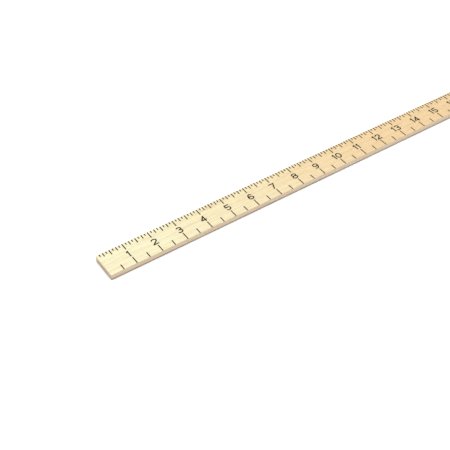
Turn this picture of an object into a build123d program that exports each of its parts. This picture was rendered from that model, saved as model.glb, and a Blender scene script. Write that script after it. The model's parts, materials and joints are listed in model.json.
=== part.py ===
from build123d import *
import os
from math import acos, atan2, degrees, gcd, hypot

# A hardwood inch rule: one flat slat with stamped and inked lines and numerals on its upper face.
# Lengths are in millimetres. +X runs from the zero end towards the hanging end, +Y from the coarse
# edge to the fine edge, and +Z out of the printed face. The origin is under the middle of the slat.

# slat
inch = 25.4
rule_inches = 36
slat_length = rule_inches * inch
slat_width = 27.0
slat_thickness = 6.4
corner_radius = 0.8
upper_arris = 0.3
lower_arris = 0.5

# hole that the rule hangs by
hang_hole_radius = 3.2
hang_hole_inset = 12.7
hang_hole_chamfer = 0.4

# stamping: the type is pressed this deep, and the ink that it leaves does not quite fill the mark
stamp_depth = 0.15
ink_thickness = 0.10
cutter_overrun = 1.0

# numerals: each stands on its inch line, but the stamp lags a little towards the zero end
numeral_height = 7.5
numeral_width = 5.8
numeral_stroke = 1.25
numeral_spacing = 1.1
numeral_base = 9.45
numeral_lag = 0.5
own_lag = {1: 1.0, 4: 1.0, 5: 0.2, 6: 0.2, 10: 0.0, 11: 0.9}
flag_reach = 1.2
flag_drop = 1.35

# lines: an inch line stops short of its numeral, and the others are shares of the inch line
line_width = 1.05
gap_under_numeral = 1.1
gap_over_numeral = 2.2
coarse_inch_line = numeral_base - gap_under_numeral
fine_inch_line = slat_width - numeral_base - numeral_height - gap_over_numeral
coarse_shares = {1: 1.0, 2: 0.75}
fine_shares = {1: 1.0, 2: 0.80, 4: 0.62, 8: 0.40}
line_names = {1: "inch", 2: "half_inch", 4: "quarter_inch", 8: "eighth_inch"}

zero_end = -slat_length / 2
hanging_end = slat_length / 2
coarse_edge = -slat_width / 2
fine_edge = slat_width / 2
stamp_floor = slat_thickness - stamp_depth


def plain_slat():
    slat = Box(slat_length, slat_width, slat_thickness, align=(Align.CENTER, Align.CENTER, Align.MIN))
    slat = fillet(slat.edges() | Axis.Z, corner_radius)
    slat = fillet(slat.faces().sort_by(Axis.Z)[-1].edges(), upper_arris)
    return fillet(slat.faces().sort_by(Axis.Z)[0].edges(), lower_arris)


def hang_hole():
    place = Pos(hanging_end - hang_hole_inset, 0, 0)
    bore = Cylinder(hang_hole_radius, slat_thickness, align=(Align.CENTER, Align.CENTER, Align.MIN))
    mouth = Cone(
        hang_hole_radius + hang_hole_chamfer,
        hang_hole_radius,
        hang_hole_chamfer,
        align=(Align.CENTER, Align.CENTER, Align.MIN),
    )
    far_mouth = Pos(0, 0, slat_thickness) * Rot(180, 0, 0) * mouth
    return place * (bore + mouth + far_mouth)


def line_places(division):
    """Places of the lines that only this division of the inch has, such as the odd eighths."""
    count = rule_inches * division
    return [zero_end + n * inch / division for n in range(1, count) if gcd(n, division) == 1]


def edge_lines(division, edge, length):
    """Lines that start beyond the edge, so that they run out over its rounding."""
    inwards = 1 if edge == coarse_edge else -1
    middle = edge + inwards * (length - cutter_overrun) / 2
    line = Rectangle(line_width, length + cutter_overrun)
    return Sketch() + [Pos(x, middle) * line for x in line_places(division)]


# Each digit is drawn in a box numeral_width wide and numeral_height high, from the middle lines of
# its strokes. A bow is part of an ellipse, from a start angle and through a turn, both in degrees.
left = numeral_stroke / 2
right = numeral_width - numeral_stroke / 2
low = numeral_stroke / 2
high = numeral_height - numeral_stroke / 2
middle = numeral_width / 2
bow_width = (right - left) / 2
waist = low + 0.54 * (high - low)


def bow(bottom, top, start, turn, half_width=bow_width):
    half_height = (top - bottom) / 2
    centre = (middle, bottom + half_height)
    return EllipticalCenterArc(centre, half_width, half_height, start, arc_size=turn)


def two():
    """The neck leaves the bow along its tangent and runs down to the heel."""
    bow_bottom = low + 0.47 * (high - low)
    half_height = (high - bow_bottom) / 2
    heel = (left + 0.15, low)
    across = (heel[0] - middle) / bow_width
    down = (heel[1] - bow_bottom - half_height) / half_height
    leaving = degrees(atan2(down, across) + acos(1 / hypot(across, down)))
    head = bow(bow_bottom, high, leaving, 180 - leaving)
    return [head, Line(head @ 0, heel), Line((0, low), (numeral_width, low))]


def four():
    stem = 0.70 * numeral_width
    bar = 0.29 * numeral_height
    return [
        Line((stem, 0), (stem, numeral_height)),
        Line((0, bar), (numeral_width, bar)),
        Line((left - 0.05, bar), (stem, high)),
    ]


def five():
    shoulder = 0.21 * numeral_width
    hip = (0.16 * numeral_width, 0.46 * numeral_height)
    return [
        Line((shoulder - left, high), (0.93 * numeral_width, high)),
        Line((shoulder, numeral_height), hip),
        bow(low, 0.57 * numeral_height, -155, 298),
    ]


def six():
    bowl_top = 0.54 * numeral_height
    bowl_middle = (low + bowl_top) / 2
    reach = high - bowl_middle
    back = EllipticalCenterArc((middle, bowl_middle), bow_width, reach, 90, arc_size=90)
    lip = bow(high - 0.40 * numeral_height, high, 22, 68, 0.92 * bow_width)
    return [bow(low, bowl_top, 0, 360), back, lip]


def seven():
    heel = (0.30 * numeral_width, -numeral_stroke)
    return [Line((0, high), (numeral_width, high)), Line((right, high), heel)]


digit_strokes = {
    "0": [bow(low, high, 0, 360)],
    "1": [
        Line((flag_reach + left, 0), (flag_reach + left, numeral_height)),
        Line((0, high - flag_drop), (flag_reach + left, high)),
    ],
    "2": two(),
    "3": [
        bow(waist, high, -90, 245, 0.93 * bow_width),
        bow(low, waist, -155, 245),
        Line((middle - numeral_stroke / 2, waist), (middle, waist)),
    ],
    "4": four(),
    "5": five(),
    "6": six(),
    "7": seven(),
    "8": [bow(waist, high, 0, 360, 0.92 * bow_width), bow(low, waist, 0, 360)],
}


def digit_width(digit):
    return flag_reach + numeral_stroke if digit == "1" else numeral_width


def digit_outline(digit):
    """A nine is a six turned half round. Strokes that overshoot are trimmed level with the box."""
    if digit == "9":
        centre = Pos(numeral_width / 2, numeral_height / 2)
        return centre * Rot(0, 0, 180) * centre.inverse() * digit_outline("6")
    strokes = Sketch() + [trace(stroke, numeral_stroke) for stroke in digit_strokes[digit]]
    box = Rectangle(digit_width(digit), numeral_height, align=(Align.MIN, Align.MIN))
    return strokes & box


outlines = {digit: digit_outline(digit) for digit in "0123456789"}


def numeral(number):
    """The digits of a number side by side, centred on its inch line but for the stamp's lag."""
    digits = str(number)
    width = sum(digit_width(d) for d in digits) + numeral_spacing * (len(digits) - 1)
    x = zero_end + number * inch - width / 2 - own_lag.get(number, numeral_lag)
    placed = []
    for digit in digits:
        placed.append(Pos(x, coarse_edge + numeral_base) * outlines[digit])
        x += digit_width(digit) + numeral_spacing
    return Sketch() + placed


def stamp(outline, height):
    return extrude(Pos(0, 0, stamp_floor) * outline, height)


def marks():
    """Node name and flat outline of everything that is stamped."""
    found = {}
    for division, share in fine_shares.items():
        name = f"fine_edge_{line_names[division]}_lines"
        found[name] = edge_lines(division, fine_edge, share * fine_inch_line)
    for division, share in coarse_shares.items():
        name = f"coarse_edge_{line_names[division]}_lines"
        found[name] = edge_lines(division, coarse_edge, share * coarse_inch_line)
    for number in range(1, rule_inches):
        found[f"numeral_{number:02d}"] = numeral(number)
    return found


def main():
    os.makedirs("parts", exist_ok=True)
    blank = plain_slat() - hang_hole()
    stamped = marks()
    sunk = [stamp(outline, stamp_depth + cutter_overrun) for outline in stamped.values()]
    export_step(blank - sunk, "parts/slat.step")
    for name, outline in stamped.items():
        export_step(stamp(outline, ink_thickness) & blank, f"parts/{name}.step")


main()
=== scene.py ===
import bpy
import json
from math import radians, sin, cos
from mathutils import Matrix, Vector


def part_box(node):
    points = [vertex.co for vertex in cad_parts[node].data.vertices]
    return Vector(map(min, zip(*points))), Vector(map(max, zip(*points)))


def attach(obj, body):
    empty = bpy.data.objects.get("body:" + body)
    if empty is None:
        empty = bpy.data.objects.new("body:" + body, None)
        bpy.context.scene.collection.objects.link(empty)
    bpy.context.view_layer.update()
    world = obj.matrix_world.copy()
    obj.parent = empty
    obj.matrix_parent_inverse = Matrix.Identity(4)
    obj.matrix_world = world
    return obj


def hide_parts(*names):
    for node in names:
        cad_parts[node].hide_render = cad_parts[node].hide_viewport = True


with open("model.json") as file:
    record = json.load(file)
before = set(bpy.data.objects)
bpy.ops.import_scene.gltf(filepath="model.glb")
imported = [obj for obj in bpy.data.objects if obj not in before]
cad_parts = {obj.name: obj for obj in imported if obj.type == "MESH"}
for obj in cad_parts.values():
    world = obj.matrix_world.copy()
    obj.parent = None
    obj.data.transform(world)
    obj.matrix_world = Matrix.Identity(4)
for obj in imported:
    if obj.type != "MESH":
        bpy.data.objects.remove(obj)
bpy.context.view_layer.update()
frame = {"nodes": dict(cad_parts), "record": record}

slatLow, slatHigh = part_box("slat")
inch = 0.0254
print("frame loaded:", len(frame["nodes"]), "nodes")


# Short names for the nodes of a material.

def put(tree, kind, sockets=None, out=0, **settings):
    made = tree.nodes.new("ShaderNode" + kind)
    for name, value in settings.items():
        setattr(made, name, value)
    for socket, value in (sockets or {}).items():
        if isinstance(value, bpy.types.NodeSocket):
            tree.links.new(value, made.inputs[socket])
        else:
            made.inputs[socket].default_value = value
    return made.outputs[out]


def sums(tree, operation, first, second=0.0, clamp=False):
    return put(tree, "Math", {0: first, 1: second}, operation=operation, use_clamp=clamp)


def product(tree, *factors):
    result = factors[0]
    for factor in factors[1:]:
        result = sums(tree, "MULTIPLY", result, factor)
    return result


def ramp(tree, value, low, high, toLow=0.0, toHigh=1.0):
    return put(tree, "MapRange", {"Value": value, "From Min": low, "From Max": high,
                                  "To Min": toLow, "To Max": toHigh}, interpolation_type="SMOOTHSTEP")


def stretchedNoise(tree, coords, pattern):
    # a pattern is its cycles per metre along, across and through the slat, its detail and its shift
    scale, detail, shift = pattern
    placed = put(tree, "Mapping", {"Vector": coords, "Scale": scale, "Location": (shift, shift, shift)})
    return put(tree, "TexNoise", {"Vector": placed, "Scale": 1.0, "Detail": detail, "Roughness": 0.55})


def blendColour(tree, factor, first, second, kind="MIX"):
    mix = tree.nodes.new("ShaderNodeMix")
    mix.data_type = "RGBA"
    mix.blend_type = kind
    for socket, value in ((0, factor), (6, first), (7, second)):
        if isinstance(value, bpy.types.NodeSocket):
            tree.links.new(value, mix.inputs[socket])
        elif socket == 0:
            mix.inputs[socket].default_value = value
        else:
            mix.inputs[socket].default_value = (*value, 1)
    return mix.outputs[2]


def newMaterial(name):
    material = bpy.data.materials.new(name)
    material.use_nodes = True
    tree = material.node_tree
    shader = tree.nodes["Principled BSDF"]
    return material, tree, shader


# Patterns are given as cycles per metre along, across and through the slat, then detail and shift.

wood = {
    "cream": (0.550, 0.528, 0.345),      # printed face at the zero end
    "honey": (0.520, 0.375, 0.194),      # printed face further along
    "bare": (0.465, 0.364, 0.250),       # edges, ends and back
    "latewood": (0.36, 0.20, 0.09),
    "earlywood": (0.62, 0.52, 0.33),
    "pore": (0.22, 0.13, 0.07),
    "endGrain": (0.30, 0.22, 0.14),
    "paintedContactShadow": (0.09, 0.066, 0.038),        # painted contact shadow along the lower arris, where the slat meets the floor

    "printedFacing": (0.05, 0.5),        # how far up a surface faces before it has the printed tone
    "endFacing": (0.5, 0.9),             # and how far along the slat before it is end grain
    "creamLength": 0.34,                 # the pale end runs out over this length
    "figure": ((18, 90, 90), 3.0, 0.0),
    "figureWeight": 0.5,                 # how raggedly the pale end runs out

    "wander": ((3.5, 0, 0), 1.0, 0.0),
    "wanderReach": 0.008,
    "pith": (0.018, -0.060),             # heart of the log, across and below the slat
    "pithSlope": 1 / 70,                 # the log's heart isn't quite in line with the slat
    "ringPitch": 0.0021,
    "ripple": ((7, 120, 120), 2.0, 0.0),
    "rippleReach": 0.0016,
    "ringRange": (0.55, 0.97),
    "ringWeight": 0.16,
    "ringEndExtra": 0.20,                # the rings are plainer on the sawn ends

    "streak": ((28, 620, 620), 3.0, 4.0),
    "streakRange": (0.46, 0.72),
    "streakWeight": 0.34,
    "fleck": ((150, 1100, 1100), 2.0, 6.0),
    "fleckRange": (0.50, 0.70),
    "fleckWeight": 0.45,
    "fibre": ((45, 3200, 3200), 2.0, 9.0),
    "fibreRange": (0.5, 0.8),
    "fibreWeight": 0.30,
    "pores": ((420, 8000, 8000), 1.0, 2.0),
    "poreRange": (0.66, 0.74),
    "poreWeight": 0.4,
    "endTint": 0.2,

    # painted contact shadow: darker along the lower arris and towards the bottom of the sawn ends, broken
    # into patches
    "paintedShadowPatches": ((60, 60, 60), 3.0, 7.0),
    "paintedShadowPatchRange": (0.3, 0.7),
    "paintedShadowPatchLeast": 0.75,
    "paintedShadowFull": 0.0006,                  # full painted shadow up to this height, and none above the next
    "paintedShadowHeight": 0.0025,
    "paintedShadowWeight": 0.98,
    "endPaintedShadowHeight": 0.0068,
    "endPaintedShadowWeight": 0.40,
    "underFacing": (-0.98, -0.75),       # the underside itself gets no painted shadow

    "glossRange": (0.3, 0.8),            # of the fibre pattern
    "roughness": (0.40, 0.56),
    "endRoughness": 0.25,                # added on the sawn ends
    "coat": 0.25,
    "coatRoughness": 0.3,
    "poreDepth": 0.8,
    "reliefStrength": 0.35,
    "relief": 0.00004,
}


def grainCoords(tree):
    # the grain wanders a little from side to side along the slat
    plain = put(tree, "TexCoord", out=3)
    wander = stretchedNoise(tree, plain, wood["wander"])
    side = product(tree, sums(tree, "SUBTRACT", wander, 0.5), wood["wanderReach"])
    offset = put(tree, "CombineXYZ", {"Y": side})
    return plain, put(tree, "VectorMath", {0: plain, 1: offset}, operation="ADD")


def growthRings(tree, coords):
    axes = put(tree, "SeparateXYZ", {0: coords}).node.outputs
    drift = product(tree, axes[0], wood["pithSlope"])
    across = sums(tree, "SUBTRACT", axes[1], wood["pith"][0])
    through = sums(tree, "ADD", sums(tree, "SUBTRACT", axes[2], wood["pith"][1]), drift)
    flat = put(tree, "CombineXYZ", {"X": across, "Y": through})
    radius = put(tree, "VectorMath", {0: flat}, out=1, operation="LENGTH")
    ripple = stretchedNoise(tree, coords, wood["ripple"])
    radius = sums(tree, "ADD", radius, product(tree, ripple, wood["rippleReach"]))
    return sums(tree, "FRACT", sums(tree, "DIVIDE", radius, wood["ringPitch"]))


def paintedShadowMask(tree, plain, place, facing, faceEnd):
    # painted contact shadow: dark along the lower arris, none on the underside, and deeper up the sawn ends
    patches = stretchedNoise(tree, plain, wood["paintedShadowPatches"])
    patchy = ramp(tree, patches, *wood["paintedShadowPatchRange"], wood["paintedShadowPatchLeast"], 1.0)
    height = sums(tree, "SUBTRACT", place[2], slatLow.z)
    arris = ramp(tree, height, wood["paintedShadowFull"], wood["paintedShadowHeight"], wood["paintedShadowWeight"], 0.0)
    end = ramp(tree, height, 0.0, wood["endPaintedShadowHeight"], wood["endPaintedShadowWeight"], 0.0)
    end = product(tree, end, faceEnd)
    notUnder = ramp(tree, facing[2], *wood["underFacing"])
    return product(tree, sums(tree, "MAXIMUM", arris, end), patchy, notUnder)


def printedTone(tree, bent, place):
    pale = ramp(tree, place[0], slatLow.x, slatLow.x + wood["creamLength"], 1.0, 0.0)
    figure = stretchedNoise(tree, bent, wood["figure"])
    ragged = product(tree, sums(tree, "SUBTRACT", figure, 0.5), wood["figureWeight"])
    pale = sums(tree, "ADD", pale, ragged, True)
    return blendColour(tree, pale, wood["honey"], wood["cream"])


def grainMarks(tree, bent, colour, faceEnd, fibre, pore):
    ring = ramp(tree, growthRings(tree, bent), *wood["ringRange"])
    ringWeight = sums(tree, "ADD", product(tree, faceEnd, wood["ringEndExtra"]), wood["ringWeight"])
    colour = blendColour(tree, product(tree, ring, ringWeight), colour, wood["latewood"])
    streak = stretchedNoise(tree, bent, wood["streak"])
    streak = ramp(tree, streak, *wood["streakRange"], 0.0, wood["streakWeight"])
    colour = blendColour(tree, streak, colour, wood["latewood"])
    fleck = stretchedNoise(tree, bent, wood["fleck"])
    fleck = ramp(tree, fleck, *wood["fleckRange"], 0.0, wood["fleckWeight"])
    fleck = product(tree, fleck, sums(tree, "SUBTRACT", 1.0, faceEnd))
    colour = blendColour(tree, fleck, colour, wood["earlywood"])
    darkFibre = ramp(tree, fibre, *wood["fibreRange"], 0.0, wood["fibreWeight"])
    colour = blendColour(tree, darkFibre, colour, wood["latewood"])
    colour = blendColour(tree, product(tree, pore, wood["poreWeight"]), colour, wood["pore"])
    return blendColour(tree, product(tree, faceEnd, wood["endTint"]), colour, wood["endGrain"])


def hardwood():
    material, tree, shader = newMaterial("lacqueredHardwood")
    plain, bent = grainCoords(tree)
    place = put(tree, "SeparateXYZ", {0: plain}).node.outputs
    facing = put(tree, "SeparateXYZ", {0: put(tree, "NewGeometry", out=1)}).node.outputs
    faceUp = ramp(tree, facing[2], *wood["printedFacing"])
    faceEnd = ramp(tree, sums(tree, "ABSOLUTE", facing[0]), *wood["endFacing"])
    fibre = stretchedNoise(tree, bent, wood["fibre"])
    pore = ramp(tree, stretchedNoise(tree, bent, wood["pores"]), *wood["poreRange"])

    colour = blendColour(tree, faceUp, wood["bare"], printedTone(tree, bent, place))
    colour = grainMarks(tree, bent, colour, faceEnd, fibre, pore)
    # painted contact shadow darkens the lower arris and the bottom of the ends
    colour = blendColour(tree, paintedShadowMask(tree, plain, place, facing, faceEnd), colour, wood["paintedContactShadow"])
    tree.links.new(colour, shader.inputs["Base Color"])

    rough = ramp(tree, fibre, *wood["glossRange"], *wood["roughness"])
    rough = sums(tree, "ADD", rough, product(tree, faceEnd, wood["endRoughness"]))
    tree.links.new(rough, shader.inputs["Roughness"])
    shader.inputs["Coat Weight"].default_value = wood["coat"]
    shader.inputs["Coat Roughness"].default_value = wood["coatRoughness"]
    relief = sums(tree, "SUBTRACT", fibre, product(tree, pore, wood["poreDepth"]))
    bump = put(tree, "Bump", {"Height": relief, "Strength": wood["reliefStrength"],
                              "Distance": wood["relief"]})
    tree.links.new(bump, shader.inputs["Normal"])
    return material


ink = {
    "black": (0.006, 0.006, 0.006),
    "thin": (0.055, 0.042, 0.030),       # where the fibres show through
    "bareFleck": (0.30, 0.21, 0.12),     # where a pore took no ink
    "fibre": ((60, 3200, 3200), 2.0, 9.0),
    "fibreShare": 0.6,
    "cloud": ((260, 260, 260), 2.0, 5.0),
    "cloudShare": 0.5,
    "thinRange": (0.56, 0.82),
    "fleck": ((500, 6000, 6000), 1.0, 3.0),
    "fleckRange": (0.70, 0.76),
    "fleckWeight": 0.6,
    "glossRange": (0.3, 0.8),            # of the fibre pattern
    "roughness": (0.55, 0.8),
    "specular": 0.15,
    "reliefStrength": 0.3,
    "relief": 0.00003,
}


def stampingInk():
    material, tree, shader = newMaterial("stampingInk")
    plain, bent = grainCoords(tree)
    fibre = stretchedNoise(tree, bent, ink["fibre"])
    cloud = stretchedNoise(tree, plain, ink["cloud"])
    clouded = product(tree, cloud, ink["cloudShare"])
    worn = sums(tree, "ADD", product(tree, fibre, ink["fibreShare"]), clouded)
    colour = blendColour(tree, ramp(tree, worn, *ink["thinRange"]), ink["black"], ink["thin"])
    fleck = ramp(tree, stretchedNoise(tree, bent, ink["fleck"]), *ink["fleckRange"])
    colour = blendColour(tree, product(tree, fleck, ink["fleckWeight"]), colour, ink["bareFleck"])
    tree.links.new(colour, shader.inputs["Base Color"])
    tree.links.new(ramp(tree, fibre, *ink["glossRange"], *ink["roughness"]), shader.inputs["Roughness"])
    shader.inputs["Specular IOR Level"].default_value = ink["specular"]
    bump = put(tree, "Bump", {"Height": fibre, "Strength": ink["reliefStrength"],
                              "Distance": ink["relief"]})
    tree.links.new(bump, shader.inputs["Normal"])
    return material


woodFinish = hardwood()
inkFinish = stampingInk()
for name, piece in frame["nodes"].items():
    finish = woodFinish if name == "slat" else inkFinish
    piece.data.materials.clear()
    piece.data.materials.append(finish)
print("finishes on", len(frame["nodes"]), "pieces")


# Picking and editing, as by hand.

def selectOnly(*pieces):
    bpy.ops.object.select_all(action="DESELECT")
    for piece in pieces:
        piece.select_set(True)
    bpy.context.view_layer.objects.active = pieces[0]


def openForEdit(piece, kind, everything=False):
    selectOnly(piece)
    bpy.ops.object.mode_set(mode="EDIT")
    bpy.ops.mesh.select_mode(type=kind)
    bpy.ops.mesh.select_all(action="SELECT" if everything else "DESELECT")


def closeEdit():
    bpy.ops.object.mode_set(mode="OBJECT")


def pickPoints(piece, wanted):
    openForEdit(piece, "VERT")
    closeEdit()
    for point in piece.data.vertices:
        point.select = wanted(point.co)
    bpy.ops.object.mode_set(mode="EDIT")


def pickEdges(piece, wanted):
    openForEdit(piece, "EDGE")
    closeEdit()
    points = piece.data.vertices
    for edge in piece.data.edges:
        first, second = (points[index].co for index in edge.vertices)
        edge.select = wanted(first, second)
    bpy.ops.object.mode_set(mode="EDIT")


def pickFaces(piece, wanted):
    openForEdit(piece, "FACE")
    closeEdit()
    for face in piece.data.polygons:
        face.select = wanted(face)
    bpy.ops.object.mode_set(mode="EDIT")


def applyModifier(piece, kind, **settings):
    modifier = piece.modifiers.new(kind.lower(), kind)
    for name, value in settings.items():
        setattr(modifier, name, value)
    selectOnly(piece)
    bpy.ops.object.modifier_apply(modifier=modifier.name)


slat = {
    "stripCuts": (20, 20),           # each cut divides the long sides again, into 441 strips
    "cornerRadius": 0.0008,
    "upperArris": 0.0003,
    "lowerArris": 0.0005,
    "arrisSteps": 4,
    "wearDepth": 0.00014,            # the worst of it leaves a flat on the lower arris, not a groove
    "wearPitch": 0.009,
    "upperWear": 0.3,                # shares of the depth: the printed arrises are worn least
    "upperEndWear": 0.55,
    "lowerWear": 1.0,
    "endReach": 0.0012,
    "wearDetail": 3,
    "wearContrast": 1.8,
    "boreSides": 72,
    "overrun": 0.001,
    "hair": 1e-6,
    "flatAngle": 0.1,                # the type's faces are joined where they turn less than this
    "smoothAngle": 35,
}
middle = (slatLow + slatHigh) / 2
span = slatHigh - slatLow


def reaches(value, limit):
    return abs(value - limit) < slat["hair"]


def onLongSide(point):
    return reaches(point.y, slatLow.y) or reaches(point.y, slatHigh.y)


def onEnd(point):
    return reaches(point.x, slatLow.x) or reaches(point.x, slatHigh.x)


def byCorner(point):
    fromEnd = span.x / 2 - abs(point.x - middle.x)
    fromSide = span.y / 2 - abs(point.y - middle.y)
    return max(fromEnd, fromSide) < slat["cornerRadius"] + slat["hair"]


def onOutline(point):
    return onLongSide(point) or onEnd(point) or byCorner(point)


def slatBlank():
    bpy.ops.object.select_all(action="DESELECT")
    bpy.ops.mesh.primitive_cube_add(size=1, location=middle, scale=span)
    bpy.ops.object.transform_apply(location=True, rotation=True, scale=True)
    blank = bpy.context.object
    blank.name = "wornSlat"
    for cuts in slat["stripCuts"]:
        pickEdges(blank, lambda a, b: not reaches(a.x, b.x))
        bpy.ops.mesh.subdivide(number_cuts=cuts)
        closeEdit()
    return blank


def roundArrises(blank):
    pickEdges(blank, lambda a, b: not reaches(a.z, b.z) and onEnd(a))
    bpy.ops.mesh.bevel(offset=slat["cornerRadius"], segments=slat["arrisSteps"], affect="EDGES")
    closeEdit()
    for level, radius in ((slatHigh.z, slat["upperArris"]), (slatLow.z, slat["lowerArris"])):
        def onRim(a, b):
            strip = reaches(a.x, b.x) and abs(a.y - b.y) > slat["cornerRadius"] and not onEnd(a)
            flat = reaches(a.z, level) and reaches(b.z, level)
            return flat and onOutline(a) and onOutline(b) and not strip
        pickEdges(blank, onRim)
        bpy.ops.mesh.bevel(offset=radius, segments=slat["arrisSteps"], affect="EDGES")
        closeEdit()


def wearArrises(blank):
    # only the points inside a rounding sink, so the flat faces stay flat
    wear = blank.vertex_groups.new(name="wear")
    for point in blank.data.vertices:
        place = point.co
        if onLongSide(place) or onEnd(place) or reaches(place.z, slatLow.z) or reaches(place.z, slatHigh.z):
            continue
        nearEnd = span.x / 2 - abs(place.x - middle.x) < slat["endReach"]
        share = slat["lowerWear"]
        if place.z > middle.z:
            share = slat["upperEndWear"] if nearEnd else slat["upperWear"]
        wear.add([point.index], share, "REPLACE")
    clouds = bpy.data.textures.new("handling", "CLOUDS")
    clouds.noise_scale = slat["wearPitch"]
    clouds.noise_depth = slat["wearDetail"]
    clouds.contrast = slat["wearContrast"]
    applyModifier(blank, "DISPLACE", texture=clouds, texture_coords="LOCAL", mid_level=1.0,
                  strength=slat["wearDepth"], vertex_group="wear")


def stampingType():
    # the type is as wide as the ink, stands above the face, and reaches out past both long edges
    copies = []
    for name, node in frame["nodes"].items():
        if name != "slat":
            copies.append(bpy.data.objects.new("type", node.data.copy()))
            bpy.context.scene.collection.objects.link(copies[-1])
    selectOnly(*copies)
    bpy.ops.object.join()
    types = bpy.context.object
    openForEdit(types, "VERT", everything=True)
    bpy.ops.mesh.remove_doubles(threshold=slat["hair"])
    closeEdit()
    floorLevel = min(point.co.z for point in types.data.vertices)
    pickPoints(types, lambda place: not reaches(place.z, floorLevel))
    bpy.ops.transform.translate(value=(0, 0, slat["overrun"]))
    closeEdit()
    for way in (-1, 1):
        pickPoints(types, lambda place: (place.y - middle.y) * way > span.y / 2 - slat["upperArris"])
        bpy.ops.transform.translate(value=(0, way * slat["overrun"], 0))
        closeEdit()
    openForEdit(types, "FACE", everything=True)
    bpy.ops.mesh.dissolve_limited(angle_limit=radians(slat["flatAngle"]))
    bpy.ops.mesh.normals_make_consistent(inside=False)
    closeEdit()
    return types


def hangHoleBore():
    mount = next(m for m in frame["record"]["mounts"] if m["name"] == "hang_hole")
    radius = mount["dims"]["r_mm"] / 1000
    straight = mount["dims"]["length_mm"] / 1000
    chamfer = (span.z - straight) / 2
    flare = 1 + chamfer / radius
    bpy.ops.object.select_all(action="DESELECT")
    bpy.ops.mesh.primitive_cylinder_add(vertices=slat["boreSides"], radius=radius, depth=straight,
                                        location=(*mount["pos_m"][:2], middle.z))
    bpy.ops.object.transform_apply(location=True)
    bore = bpy.context.object
    for way in (-1, 1):
        pickFaces(bore, lambda face: face.normal.z * way > 0.9)
        bpy.ops.mesh.extrude_region_move(TRANSFORM_OT_translate={"value": (0, 0, way * chamfer)})
        bpy.ops.transform.resize(value=(flare, flare, 1))
        bpy.ops.mesh.extrude_region_move(TRANSFORM_OT_translate={"value": (0, 0, way * slat["overrun"])})
        closeEdit()
    return bore


def mendSeams(blank):
    # the mouths of the bore lie in the faces, and cutting them leaves points a hair apart
    openForEdit(blank, "VERT", everything=True)
    bpy.ops.mesh.remove_doubles(threshold=slat["hair"])
    bpy.ops.mesh.dissolve_degenerate(threshold=slat["hair"])
    closeEdit()


def makeSlat():
    blank = slatBlank()
    roundArrises(blank)
    wearArrises(blank)
    print("slat blank has", len(blank.data.polygons), "faces")
    for cutter in (hangHoleBore(), stampingType()):
        applyModifier(blank, "BOOLEAN", object=cutter, operation="DIFFERENCE", solver="EXACT")
        bpy.data.objects.remove(cutter)
    mendSeams(blank)
    selectOnly(blank)
    bpy.ops.object.shade_smooth_by_angle(angle=radians(slat["smoothAngle"]))
    applyModifier(blank, "WEIGHTED_NORMAL", keep_sharp=True)
    blank.data.materials.clear()
    blank.data.materials.append(woodFinish)
    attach(blank, "root")
    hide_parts("slat")
    print("slat bored and stamped:", len(blank.data.polygons), "faces")


makeSlat()


studio = {
    "floorSide": 60.0,
    "floorTone": 0.75,
    "floorRoughness": 0.9,
    "floorSpecular": 0.1,
    "softbox": {"strength": 4.2, "spread": 110, "lean": (12, -8)},
    "ambient": 0.50,                 # what the sky gives the object
    "backdrop": 1.0,                 # and how bright it is behind it
}
view = {"azimuth": -34.56, "elevation": 44.04, "distance": 0.7813, "lens": 71.12,
        "along": 4.412 * inch, "across": -0.164 * inch, "sensor": 36, "reach": (0.01, 100)}


def addFloor():
    bpy.ops.object.select_all(action="DESELECT")
    bpy.ops.mesh.primitive_plane_add(size=studio["floorSide"], location=(0, 0, 0))
    floor = bpy.context.object
    floor.name = "floor"
    material, tree, shader = newMaterial("palePaper")
    tone = studio["floorTone"]
    shader.inputs["Base Color"].default_value = (tone, tone, tone, 1)
    shader.inputs["Roughness"].default_value = studio["floorRoughness"]
    shader.inputs["Specular IOR Level"].default_value = studio["floorSpecular"]
    floor.data.materials.append(material)


def addLights():
    # a very wide overhead light, as even as a big softbox close by
    box = studio["softbox"]
    data = bpy.data.lights.new("softbox", "SUN")
    data.energy = box["strength"]
    data.angle = radians(box["spread"])
    lamp = bpy.data.objects.new("softbox", data)
    lamp.rotation_euler = (radians(box["lean"][0]), radians(box["lean"][1]), 0)
    bpy.context.scene.collection.objects.link(lamp)
    world = bpy.data.worlds.new("studio")
    world.use_nodes = True
    tree = world.node_tree
    seen = put(tree, "LightPath")
    glow = ramp(tree, seen, 0.0, 1.0, studio["ambient"], studio["backdrop"])
    tree.nodes["Background"].inputs["Color"].default_value = (1, 1, 1, 1)
    tree.links.new(glow, tree.nodes["Background"].inputs["Strength"])
    bpy.context.scene.world = world
    bpy.context.scene.view_settings.view_transform = "Standard"


def addCamera():
    data = bpy.data.cameras.new("viewCamera")
    data.sensor_width = view["sensor"]
    data.lens = view["lens"]
    camera = bpy.data.objects.new("viewCamera", data)
    bpy.context.scene.collection.objects.link(camera)
    a, e = radians(view["azimuth"]), radians(view["elevation"])
    back = Vector((sin(a) * cos(e), -cos(a) * cos(e), sin(e)))
    target = Vector((slatLow.x + view["along"], slatLow.y + view["across"], slatHigh.z))
    camera.location = target + back * view["distance"]
    camera.rotation_mode = "QUATERNION"
    camera.rotation_quaternion = (-back).to_track_quat("-Z", "Y")
    data.clip_start, data.clip_end = view["reach"]
    bpy.context.scene.camera = camera


addFloor()
addLights()
addCamera()
print("floor, lights and camera are in")
